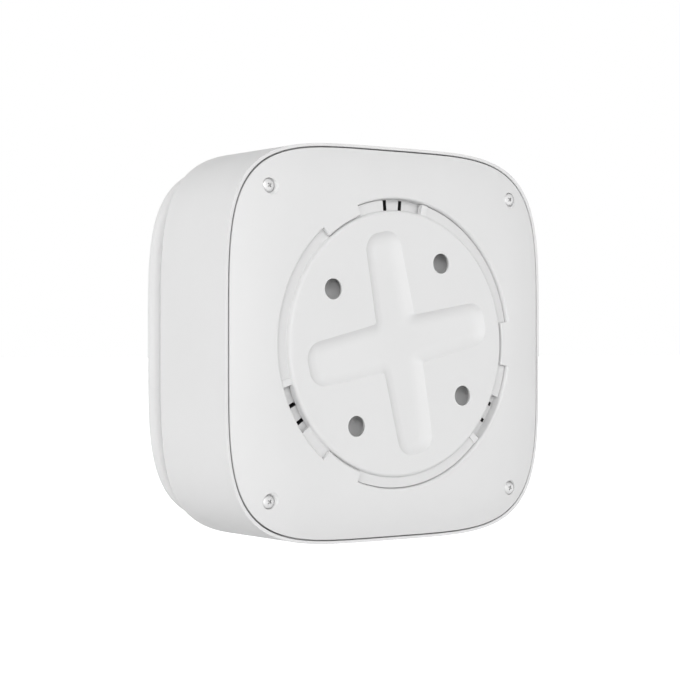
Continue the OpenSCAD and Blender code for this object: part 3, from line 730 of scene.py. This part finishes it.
inlet_middles = [(k - (INLET_COUNT - 1) / 2) * INLET_PITCH for k in range(INLET_COUNT)]
side_points = []
for middle in inlet_middles:
    side_points += [side_bearing(middle + step * INLET_W / 4) for step in (-2, -1, 0, 1, 2)]
side_points.append(45)
side_points += [side_points[-2] + (45 - side_points[-2]) * k / 3 for k in (1, 2)]
side_points += [-45 + (side_points[0] + 45) * k / 3 for k in (1, 2)]
inlet_spots = [(side * 90 + side_bearing(m - INLET_W / 2), side * 90 + side_bearing(m + INLET_W / 2))
               for side in range(4) for m in inlet_middles]
ring_bearings = sorted((side * 90 + b) % 360 for side in range(4) for b in side_points)
print("inlets:", len(inlet_spots), "points round the ring:", len(ring_bearings))

# %% [markdown]
# The ring is pulled along its outside and back along its inside, and its two open rims are bridged.
# For each slot the strips outside and inside are selected, and Bridge turns them into a window.

# %% Inlet ring
inner_ring, outer_ring = cap_edge(GRILLE_HALF - GRILLE_T), cap_edge(GRILLE_HALF)
levels = (SHELL_FRONT, INLET_LOW, INLET_HIGH, CAP_BACK)
grille_rings = [(outer_ring, y) for y in levels] + [(inner_ring, y) for y in reversed(levels)]
grille = moulded_wall("air_inlets", ring_bearings, grille_rings, closed=False)
pick_edges(grille, lambda edge, a, b: edge.is_boundary)
bpy.ops.mesh.bridge_edge_loops()
for low, high in inlet_spots:
    pick_faces(lambda b, r, y: INLET_LOW < y < INLET_HIGH
               and turn_off(b, (low + high) / 2) < (high - low) / 2)
    bpy.ops.mesh.bridge_edge_loops()
face_outwards()
soften(grille, 0.2, segments=2)
shade(grille)
settle(grille, "detector", "grille_white", "inlet_grille")

# %% [markdown]
# ## The cover screws
# Four small pan head screws close the cover. The head is a low dome, pulled ring by ring from the
# thread. A sphere could be squashed to a dome, but the rings give the head's straight rim too.

# %% Screw head
HEAD_R, HEAD_H, HEAD_Y, THREAD_R, THREAD_L = 2.18, 1.7, 2.2, 1.25, 12.0
DOME_H, DOME_END, TIP_SHARE, TIP_L = 0.55 * HEAD_H, 82, 0.6, 0.6
under_head = HEAD_Y + HEAD_H
head_rings = [(round_outline(r), y) for r, y in (
    (THREAD_R * TIP_SHARE, under_head + THREAD_L), (THREAD_R, under_head + THREAD_L - TIP_L),
    (THREAD_R, under_head), (HEAD_R, under_head), (HEAD_R, HEAD_Y + DOME_H))]
for a in arc(8, 0, DOME_END)[1:]:
    head_rings.append((round_outline(HEAD_R * math.cos(a)),
                       HEAD_Y + DOME_H * (1 - math.sin(a) / math.sin(math.radians(DOME_END)))))
screw = moulded_wall("screw", even_bearings(48), head_rings)
face_outwards()
soften(screw, 0.12, segments=2, angle=50)
print("screw, points:", len(screw.data.vertices))

# %% [markdown]
# The driver's cross is cut by two crossed blades, each a block that is narrowed at its tip. One
# screw is modelled, then copied into the four seats. Each copy has its own turn, because screws do
# not all stop at the same angle.

# %% Screw recess and copies
BLADE_W, BLADE_L, BLADE_REACH, BLADE_SINK = 0.62, 2.0, 2.5, 0.25
BLADE_TIP_W, BLADE_TIP_L = 0.7, 0.45
SCREW_TURNS = (38, 52, 20, 45)


def wedge_blade(turn):
    """One blade of the driver's cross: a block that narrows towards its tip."""
    let_go()
    bpy.ops.mesh.primitive_cube_add(size=1)
    blade = bpy.context.object
    bpy.ops.transform.resize(value=(BLADE_W * MM, BLADE_L * MM, BLADE_REACH * MM))
    bpy.ops.object.transform_apply(location=True, rotation=True, scale=True)
    bpy.ops.object.mode_set(mode="EDIT")
    pick_faces(lambda b, r, y: y > BLADE_L / 4)
    bpy.ops.transform.resize(value=(BLADE_TIP_W, 1, BLADE_TIP_L), center_override=(0, BLADE_L / 2 * MM, 0))
    bpy.ops.object.mode_set(mode="OBJECT")
    blade.location = (0, (HEAD_Y - BLADE_SINK) * MM, 0)
    blade.rotation_euler = (0, math.radians(turn), 0)
    bpy.ops.object.transform_apply(location=True, rotation=True, scale=True)
    return blade


for turn in (0, 90):
    cut(screw, wedge_blade(turn))
screws = []
for (x, z), turn in zip(CORNERS, SCREW_TURNS):
    take(screw)
    bpy.ops.object.duplicate()
    copy = bpy.context.object
    copy.rotation_euler = (0, math.radians(turn), 0)
    bpy.ops.object.transform_apply(location=True, rotation=True, scale=True)
    shift(copy, x, z)
    screws.append(copy)
bpy.data.objects.remove(screw, do_unlink=True)
cover_screws = join("cover_screw_set", screws)
shade(cover_screws)
settle(cover_screws, "detector", "screw_steel", "cover_screws")

# %% [markdown]
# ## The test button
# The button fills the cup in the cap. Its face is dished a little, so that a finger finds it, and
# its edge is round. It is one turned wall, from the end of the stem to the middle of the face.

# %% Test button
BUTTON_T, BUTTON_EDGE, DISH = 2.6, 0.8, 0.35
STEM_END, STEM_EDGE, CLIP_IN, CLIP_T = 43.0, 0.4, 0.6, 1.0
CLIP_Y = CUP_FLOOR - CUP_T
button_rings = [(round_outline(r), y) for r, y in (
    (STEM_R - STEM_EDGE, STEM_END), (STEM_R, STEM_END + STEM_EDGE), (STEM_R, CLIP_Y - CLIP_T),
    (STEM_R - CLIP_IN, CLIP_Y - CLIP_T), (STEM_R - CLIP_IN, CLIP_Y), (STEM_R, CLIP_Y),
    (STEM_R, CAP_FRONT - BUTTON_T), (BUTTON_R, CAP_FRONT - BUTTON_T))]
button_flat = BUTTON_R - BUTTON_EDGE
for a in arc(6, 0, 90):
    button_rings.append((round_outline(button_flat + BUTTON_EDGE * math.cos(a)),
                         CAP_FRONT - BUTTON_EDGE + BUTTON_EDGE * math.sin(a)))
for k in range(1, 12):
    share = k / 12
    button_rings.append((round_outline(button_flat * (1 - share)),
                         CAP_FRONT - DISH * (1 - (1 - share) ** 2)))
button = moulded_wall("test_button_cap", even_bearings(120), button_rings)
face_outwards()
shade(button)
settle(button, "button", "button_white", "test_button")

# %% [markdown]
# ## The tamper spring
# A coil spring pushes the tamper plunger out. A small circle beside the axis becomes a coil with
# the Screw modifier, which turns and lifts it at once, and Fill Holes closes its two ends. The
# spring stands still at the switch and gets a mesh of its own. In use it shortens while the plunger comes
# in.

# %% Tamper spring
WIRE_R, COIL_R, COIL_TURNS, COIL_FROM, COIL_TO, COIL_SEAT = 0.3, 2.8, 5, 22.9, 30.9, 31.0
let_go()
bpy.ops.mesh.primitive_circle_add(vertices=12, radius=WIRE_R * MM,
                                  location=(COIL_R * MM, (COIL_FROM + WIRE_R) * MM, 0))
spring = bpy.context.object
spring.name = "tamper_coil"
bpy.ops.object.transform_apply(location=True, rotation=True, scale=True)
coil = spring.modifiers.new("coil", "SCREW")
coil.axis, coil.iterations, coil.steps, coil.render_steps = "Y", COIL_TURNS, 24, 24
coil.screw_offset = (COIL_TO - COIL_FROM - 2 * WIRE_R) / COIL_TURNS * MM
bpy.ops.object.modifier_apply(modifier="coil")
bpy.ops.object.mode_set(mode="EDIT")
bpy.ops.mesh.select_all(action="SELECT")
bpy.ops.mesh.fill_holes(sides=12)
face_outwards()
shift(spring, TAMPER_X, TAMPER_Z)
shade(spring)
settle(spring, "detector", "spring_steel", "tamper_spring")
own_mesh(spring)

# %% [markdown]
# ## Helpers for finishes
# A finish is a small tree of nodes around the Principled BSDF. Its noises read Object coordinates, so
# a grain keeps its real size on every piece. Map Range narrows a noise to a faint shift, Mix turns it
# into a tint, and Bump into a relief.

# %% Finish helpers
def new_finish(name):
    finish = bpy.data.materials.new(name)
    finish.use_nodes = True
    tree = finish.node_tree
    return finish, tree, tree.nodes["Principled BSDF"]


def add_node(tree, kind, **inputs):
    node = tree.nodes.new(kind)
    for key, value in inputs.items():
        node.inputs[key].default_value = value
    return node


def noise(tree, scale, detail=2.0):
    place = tree.nodes.get("place") or tree.nodes.new("ShaderNodeTexCoord")
    place.name = "place"
    texture = add_node(tree, "ShaderNodeTexNoise", Scale=scale, Detail=detail)
    tree.links.new(place.outputs["Object"], texture.inputs["Vector"])
    return texture.outputs["Fac"]


def spread(tree, value, low, high, start=0.3, end=0.7):
    """Maps a value onto another range, by default from the middle of a noise."""
    node = add_node(tree, "ShaderNodeMapRange", **{"From Min": start, "From Max": end,
                                                   "To Min": low, "To Max": high})
    tree.links.new(value, node.inputs["Value"])
    return node.outputs["Result"]


def tinted(tree, value, dark, light):
    """Mixes two colours by a noise."""
    mix = tree.nodes.new("ShaderNodeMix")
    mix.data_type = "RGBA"
    mix.inputs["A"].default_value = (*dark, 1)
    mix.inputs["B"].default_value = (*light, 1)
    tree.links.new(value, mix.inputs["Factor"])
    return mix.outputs["Result"]


def grain(tree, shader, value, strength, distance):
    bump = add_node(tree, "ShaderNodeBump", Strength=strength, Distance=distance)
    tree.links.new(value, bump.inputs["Height"])
    tree.links.new(bump.outputs["Normal"], shader.inputs["Normal"])


print("finish helpers are ready")

# %% [markdown]
# ## Finishes: moulded plastic
# The housing is plain white plastic with the fine even grain that a spark-eroded mould leaves.
# A flat colour would look like paper, so three faint noises do the work: a fine one for the grain
# bump, a broad one that shifts the tone by about one part in a hundred, and one for the gloss.

# %% Plastic finishes
def moulded_plastic(name, colour, gloss=0.46, grain_scale=1500, grain_strength=0.05, gleam=0.35):
    finish, tree, shader = new_finish(name)
    broad = spread(tree, noise(tree, 38, detail=3), 0, 1)
    dark = tuple(c * 0.985 for c in colour)
    tree.links.new(tinted(tree, broad, dark, colour), shader.inputs["Base Color"])
    tree.links.new(spread(tree, noise(tree, 140, detail=3), gloss - 0.04, gloss + 0.04),
                   shader.inputs["Roughness"])
    grain(tree, shader, noise(tree, grain_scale), grain_strength, 0.00006)
    shader.inputs["Specular IOR Level"].default_value = gleam
    return finish


WHITE = (0.80, 0.80, 0.80)
PLASTICS = {
    "plate_white": dict(colour=WHITE),
    "cover_white": dict(colour=WHITE),
    "shell_white": dict(colour=WHITE),
    "cap_white": dict(colour=(0.82, 0.82, 0.82)),
    "button_white": dict(colour=(0.83, 0.83, 0.83), gloss=0.4),
    "grille_white": dict(colour=(0.74, 0.74, 0.74), gloss=0.55),
    "horn_white": dict(colour=(0.70, 0.70, 0.70), gloss=0.5),
    "parts_dark": dict(colour=(0.05, 0.05, 0.055), gloss=0.5, grain_scale=3000),
    "chamber_black": dict(colour=(0.02, 0.02, 0.022), gloss=0.7, grain_scale=900, grain_strength=0.2),
    "holder_black": dict(colour=(0.03, 0.03, 0.034), gloss=0.5),
    "switch_black": dict(colour=(0.04, 0.04, 0.045), gloss=0.45),
    "plunger_cream": dict(colour=(0.70, 0.66, 0.58), gloss=0.4),
    "tamper_grey": dict(colour=(0.66, 0.66, 0.66), gloss=0.45),
}
finishes = {name: moulded_plastic(name, **look) for name, look in PLASTICS.items()}
print("plastic finishes:", len(finishes))

# %% [markdown]
# Gaps gather shade, and here that shade is painted into the colour: the walls of the slots get a
# painted shade near black, as if they led into a dark housing, and the seam's wall, the ends of the
# lugs and the plate's flange get a painted grey shade. Each of these zones is found by its reach from
# the middle and its depth alone, so it has the same grey on all sides of its piece, and it turns with
# the piece.

# %% Painted shade in the gaps
def maths(tree, operation, first, second):
    """A Math node on two values, each a socket or a number."""
    node = tree.nodes.new("ShaderNodeMath")
    node.operation = operation
    for socket, value in zip(node.inputs, (first, second)):
        if isinstance(value, (int, float)):
            socket.default_value = value
        else:
            tree.links.new(value, socket)
    return node.outputs[0]


def place_of(tree):
    """The place of a point on its piece: its depth Y and its reach R from the Y axis."""
    split = tree.nodes.new("ShaderNodeSeparateXYZ")
    flat, reach = (tree.nodes.new("ShaderNodeVectorMath") for _ in range(2))
    flat.operation, reach.operation = "MULTIPLY", "LENGTH"
    flat.inputs[1].default_value = (1, 0, 1)
    for socket in (split.inputs[0], flat.inputs[0]):
        tree.links.new(tree.nodes["place"].outputs["Object"], socket)
    tree.links.new(flat.outputs[0], reach.inputs[0])
    return dict(Y=split.outputs["Y"], R=reach.outputs["Value"])


def paint_shade_zone(finish, grey, *limits):
    """Paints a grey shade into a finish's colour where every limit on reach R or depth Y, in mm, holds."""
    tree = finish.node_tree
    place = place_of(tree)
    share = 1.0
    for name, operation, limit in limits:
        share = maths(tree, "MULTIPLY", share, maths(tree, operation, place[name], limit * MM))
    colour = tree.nodes["Principled BSDF"].inputs["Base Color"]
    mix = tree.nodes.new("ShaderNodeMix")
    mix.data_type = "RGBA"
    tree.links.new(colour.links[0].from_socket, mix.inputs["A"])
    mix.inputs["B"].default_value = (grey, grey, grey, 1)
    tree.links.new(share, mix.inputs["Factor"])
    tree.links.new(mix.outputs["Result"], colour)


OVER, UNDER = "GREATER_THAN", "LESS_THAN"
# These greys are painted shade: near black in the slots, and grey on the seam's wall, the lug ends and the
# plate's flange.
SLOT_PAINTED_SHADE, SEAM_PAINTED_SHADE, LUG_END_PAINTED_SHADE, FLANGE_PAINTED_SHADE = 0.04, 0.5, 0.6, 0.75
cover_finish, plate_finish = finishes["cover_white"], finishes["plate_white"]
# Painted shade: the walls of the tongue slots near black, as if they opened into the dark housing.
paint_shade_zone(cover_finish, SLOT_PAINTED_SHADE, ("R", OVER, WELL_R + 0.1), ("R", UNDER, OPENING_R + 0.5),
           ("Y", OVER, LEDGE_Y + 0.1))
# Painted shade on the wall of the seam around the cover.
paint_shade_zone(cover_finish, SEAM_PAINTED_SHADE, ("R", OVER, OPENING_R + 4), ("Y", OVER, CROWN_EDGE + 0.4))
# Painted shade on the inner ends of the lugs, in the gap beside the plate.
paint_shade_zone(cover_finish, LUG_END_PAINTED_SHADE, ("R", OVER, WELL_R + 1), ("R", UNDER, LUG_R + 0.5),
           ("Y", OVER, CROWN_LOW + 0.3), ("Y", UNDER, LUG_BACK + 0.05))
# Painted shade on the plate's recessed flange, darker than the disc.
paint_shade_zone(plate_finish, FLANGE_PAINTED_SHADE, ("R", OVER, PLATE_R + 0.02), ("Y", OVER, STOP_Y + 0.05))
print("shaded zones on:", cover_finish.name, plate_finish.name)

# %% [markdown]
# ## Finishes: metal
# Screws and springs are bright plated steel with fine drawing lines: noise that is stretched along
# one axis by a Mapping node.

# %% Metal finishes
def plated_metal(name, colour, gloss=0.3, stretch=(1, 0.08, 1), lines=2600):
    finish, tree, shader = new_finish(name)
    place = tree.nodes.new("ShaderNodeTexCoord")
    mapping = tree.nodes.new("ShaderNodeMapping")
    mapping.inputs["Scale"].default_value = stretch
    drawn = add_node(tree, "ShaderNodeTexNoise", Scale=lines, Detail=3.0)
    tree.links.new(place.outputs["Object"], mapping.inputs["Vector"])
    tree.links.new(mapping.outputs["Vector"], drawn.inputs["Vector"])
    value = drawn.outputs["Fac"]
    dark = tuple(c * 0.9 for c in colour)
    tree.links.new(tinted(tree, spread(tree, value, 0, 1), dark, colour), shader.inputs["Base Color"])
    tree.links.new(spread(tree, value, gloss - 0.06, gloss + 0.08), shader.inputs["Roughness"])
    grain(tree, shader, value, 0.04, 0.00003)
    shader.inputs["Metallic"].default_value = 1.0
    return finish


METALS = {
    "screw_steel": dict(colour=(0.74, 0.74, 0.74), gloss=0.5),
    "spring_steel": dict(colour=(0.62, 0.62, 0.63), gloss=0.28),
    "screen_steel": dict(colour=(0.42, 0.42, 0.43), gloss=0.4),
    "contact_nickel": dict(colour=(0.62, 0.60, 0.52), gloss=0.3),
    "disc_brass": dict(colour=(0.66, 0.49, 0.20), gloss=0.34, stretch=(0.1, 1, 1)),
}
finishes.update((name, plated_metal(name, **look)) for name, look in METALS.items())
print("metal finishes:", len(METALS))

# %% [markdown]
# ## Finishes: resin
# The light parts are tinted resin with a clear coat, and the pipe that leads light to the front is a
# rod of clear plastic. Light goes through it, so it gets transmission.

# %% Resin finishes
def cast_resin(name, colour, gloss=0.18):
    finish, tree, shader = new_finish(name)
    cloud = spread(tree, noise(tree, 420, detail=3), 0, 1)
    dark = tuple(c * 0.85 for c in colour)
    tree.links.new(tinted(tree, cloud, dark, colour), shader.inputs["Base Color"])
    tree.links.new(spread(tree, noise(tree, 900), gloss, gloss + 0.1), shader.inputs["Roughness"])
    grain(tree, shader, noise(tree, 700), 0.02, 0.00005)
    shader.inputs["Coat Weight"].default_value = 0.3
    return finish


def clear_rod(name):
    finish, tree, shader = new_finish(name)
    tree.links.new(spread(tree, noise(tree, 800), 0.08, 0.16), shader.inputs["Roughness"])
    grain(tree, shader, noise(tree, 500), 0.02, 0.00005)
    shader.inputs["Base Color"].default_value = (0.94, 0.97, 0.97, 1)
    shader.inputs["Transmission Weight"].default_value = 0.85
    shader.inputs["IOR"].default_value = 1.49
    return finish


RESINS = {
    "eye_blue": dict(colour=(0.06, 0.07, 0.18)),
    "eye_black": dict(colour=(0.02, 0.02, 0.026)),
    "bead_brown": dict(colour=(0.11, 0.06, 0.04), gloss=0.25),
    "cell_wrap": dict(colour=(0.14, 0.19, 0.29), gloss=0.22),
    "led_white": dict(colour=(0.84, 0.84, 0.76), gloss=0.2),
}
finishes.update((name, cast_resin(name, **look)) for name, look in RESINS.items())
finishes["clear_plastic"] = clear_rod("clear_plastic")
print("resin finishes:", len(RESINS) + 1)

# %% [markdown]
# ## Finishes: the board
# The board is glass fibre under a green mask. A Brick texture, turned into the board's plane, gives
# the faint pattern of tracks, which is enough for a piece inside the housing.

# %% Board finish
def board_mask(name):
    finish, tree, shader = new_finish(name)
    place = tree.nodes.new("ShaderNodeTexCoord")
    mapping = tree.nodes.new("ShaderNodeMapping")
    mapping.inputs["Rotation"].default_value = (math.pi / 2, 0, 0)
    tracks = add_node(tree, "ShaderNodeTexBrick", Scale=180.0)
    tracks.inputs["Color1"].default_value = (0.03, 0.17, 0.07, 1)
    tracks.inputs["Color2"].default_value = (0.04, 0.20, 0.09, 1)
    tracks.inputs["Mortar"].default_value = (0.07, 0.27, 0.12, 1)
    tracks.inputs["Mortar Size"].default_value = 0.06
    tree.links.new(place.outputs["Object"], mapping.inputs["Vector"])
    tree.links.new(mapping.outputs["Vector"], tracks.inputs["Vector"])
    tree.links.new(tracks.outputs["Color"], shader.inputs["Base Color"])
    tree.links.new(spread(tree, noise(tree, 600, detail=3), 0.25, 0.42), shader.inputs["Roughness"])
    grain(tree, shader, tracks.outputs["Fac"], 0.15, 0.00003)
    return finish


finishes["board_green"] = board_mask("board_green")
print("finishes in all:", len(finishes))

# %% [markdown]
# Now each piece gets its finish. The record says which slot every CAD node has, so the nodes that
# stay visible are dressed from that list, and the new pieces by the slots noted for them.

# %% Dress the pieces
slot_of = {row["node"]: row["material_slot"] for row in frame["record"]["subparts"]}
for name, node in nodes.items():
    finish = finishes[slot_of[name]]
    if not node.material_slots:
        node.data.materials.append(finish)
    for slot in node.material_slots:
        slot.material = finish
for piece, slot_name in made_pieces:
    piece.data.materials.clear()
    piece.data.materials.append(finishes[slot_name])
print("dressed nodes:", len(nodes), "and pieces:", len(made_pieces))

# %% [markdown]
# ## Light and background
# The picture has a plain white ground with no horizon, and light that comes level from all sides:
# upright walls are bright, and the rounded corners fall off above and below. So the world is a
# bright belt at the horizon that fades towards the zenith and the ground. The camera itself sees
# the world as plain white, which Light Path nodes see to.

# %% World
BELT_POWER, BELT_STRENGTH = 2.8, 1.77


def white_where_seen(tree, dim, white, output):
    """Shows white to the camera, in mirrors and through glass, and dim to other light."""
    path = tree.nodes.new("ShaderNodeLightPath")
    seen = path.outputs["Is Camera Ray"]
    for name in ("Is Glossy Ray", "Is Transmission Ray"):
        seen = maths(tree, "MAXIMUM", seen, path.outputs[name])
    mix = tree.nodes.new("ShaderNodeMixShader")
    for value, socket in zip((seen, dim, white), mix.inputs):
        tree.links.new(value, socket)
    tree.links.new(mix.outputs[0], output)


scene = bpy.context.scene
scene.view_settings.view_transform = "Standard"
world = bpy.data.worlds.new("soft_studio")
scene.world = world
world.use_nodes = True
tree = world.node_tree
fill_light = tree.nodes["Background"]
fill_light.inputs["Color"].default_value = (1, 1, 1, 1)
direction = tree.nodes.new("ShaderNodeTexCoord")
split = tree.nodes.new("ShaderNodeSeparateXYZ")
tree.links.new(direction.outputs["Generated"], split.inputs[0])
height = split.outputs["Z"]
level = maths(tree, "SUBTRACT", 1.0, maths(tree, "MULTIPLY", height, height))
belt = maths(tree, "MULTIPLY", maths(tree, "POWER", level, BELT_POWER), BELT_STRENGTH)
tree.links.new(belt, fill_light.inputs["Strength"])
backdrop = tree.nodes.new("ShaderNodeBackground")
backdrop.inputs["Color"].default_value = (1, 1, 1, 1)
backdrop.inputs["Strength"].default_value = 1.0
white_where_seen(tree, fill_light.outputs[0], backdrop.outputs[0],
                 tree.nodes["World Output"].inputs["Surface"])
print("world:", world.name, "with", len(tree.nodes), "nodes")

# %% [markdown]
# One large soft lamp at the upper left, well behind the camera, draws the soft shades on the face.

# %% Lamp
LAMP_AT, LAMP_AIM = Vector((-1.36, -1.45, 0.45)), Vector((0, 0.03, 0))
lamp = bpy.data.lights.new("lamp_left", "AREA")
lamp.shape = "RECTANGLE"
lamp.size, lamp.size_y = 1.2, 1.0
lamp.energy = 12.0
holder = bpy.data.objects.new("lamp_left", lamp)
scene.collection.objects.link(holder)
holder.location = LAMP_AT
holder.rotation_euler = (LAMP_AIM - LAMP_AT).to_track_quat("-Z", "Y").to_euler()
print("lamp:", holder.name, lamp.energy, "W")

# %% [markdown]
# ## The floor
# The floor is pale and plain. The camera sees it glow towards white further out, so that it runs
# into the white world with no horizon, while the shade close to the object stays.

# %% Floor
FLOOR_Z, FLOOR_SIZE = -0.2, 60
GLOW, GLOW_REACH = (0.45, 1.0), (0.3, 0.9)
let_go()
bpy.ops.mesh.primitive_plane_add(size=FLOOR_SIZE, location=(0, 0, FLOOR_Z))
floor = bpy.context.object
floor.name = "floor"
floor_finish, tree, shader = new_finish("floor_white")
tree.links.new(tinted(tree, noise(tree, 3), (0.86, 0.86, 0.86), (0.9, 0.9, 0.9)),
               shader.inputs["Base Color"])
shader.inputs["Roughness"].default_value = 0.9
glow = tree.nodes.new("ShaderNodeEmission")
glow.inputs["Color"].default_value = (1, 1, 1, 1)
place = tree.nodes.new("ShaderNodeTexCoord")
reach = tree.nodes.new("ShaderNodeVectorMath")
reach.operation = "LENGTH"
tree.links.new(place.outputs["Object"], reach.inputs[0])
fade = spread(tree, reach.outputs["Value"], *GLOW, *GLOW_REACH)
tree.links.new(fade, glow.inputs["Strength"])
lit = tree.nodes.new("ShaderNodeAddShader")
tree.links.new(shader.outputs[0], lit.inputs[0])
tree.links.new(glow.outputs[0], lit.inputs[1])
white_where_seen(tree, shader.outputs[0], lit.outputs[0],
                 tree.nodes["Material Output"].inputs["Surface"])
floor.data.materials.append(floor_finish)
print("floor at", FLOOR_Z, "m")
